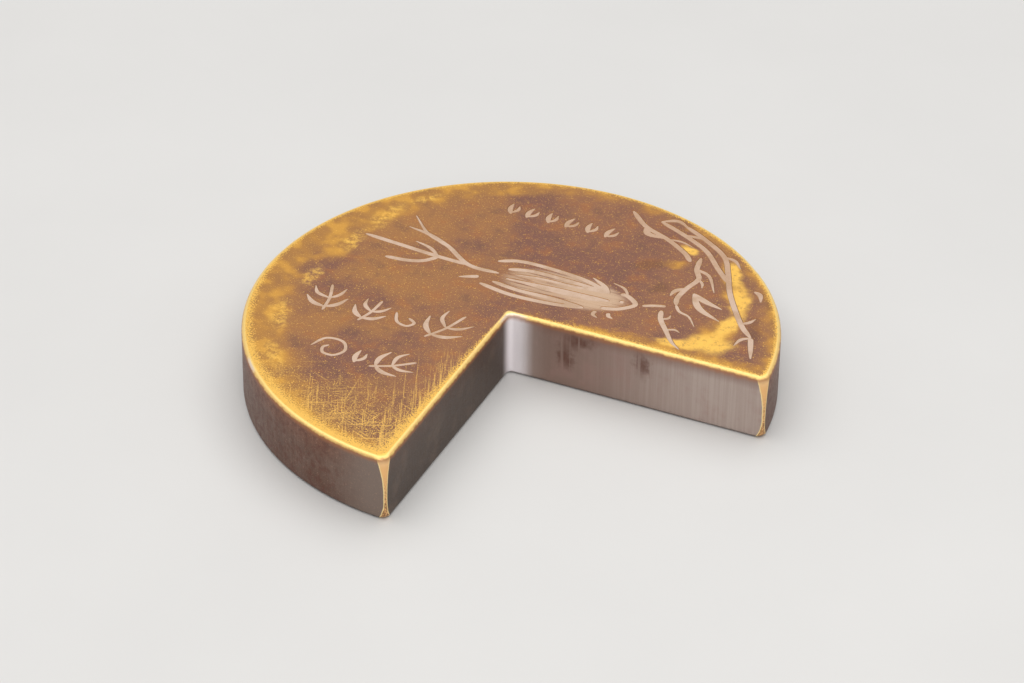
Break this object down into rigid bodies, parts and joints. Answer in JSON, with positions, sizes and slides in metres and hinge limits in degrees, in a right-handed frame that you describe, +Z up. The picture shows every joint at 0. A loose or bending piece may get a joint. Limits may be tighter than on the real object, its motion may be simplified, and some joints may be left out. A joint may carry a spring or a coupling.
{
  "type": "calligraphy paperweight",
  "caption": "Flat round brass desk weight with one quarter cut out, its top face engraved with a bird, a hanging twig and small sprigs.",
  "frame": {"origin": "centre of the disc's circle on its bottom face, within 0.1 mm of the middle of the bounding box's base", "axes": "+Z up through the thickness; the missing quarter opens towards +X and -Y, and the engraved bird faces +X"},
  "size_m": [0.0749, 0.0749, 0.01],
  "materials": {
    "brass": "brown chemical patina, satin, worn to bright brass on the edges",
    "infill": "pale matt filler, rubbed flush"
  },
  "bodies": {
    "root": {"body": "brass", "upper_wing": "infill", "back": "infill", "lower_wing": "infill", "head": "infill", "eye": "infill", "beak": "infill", "front_foot": "infill", "rear_foot": "infill", "tail_covert": "infill", "tail": "infill", "branch": "infill", "twig": "infill", "twig_leaves": "infill", "bough": "infill", "low_twig": "infill", "outer_leaf": "infill", "sprig_1": "infill", "sprig_2": "infill", "tendril": "infill", "sprig_3": "infill", "curl": "infill", "low_bud": "infill", "sprig_4": "infill", "bud_1": "infill", "bud_2": "infill", "bud_3": "infill", "bud_4": "infill", "bud_5": "infill", "bud_6": "infill"}
  },
  "joints": []
}
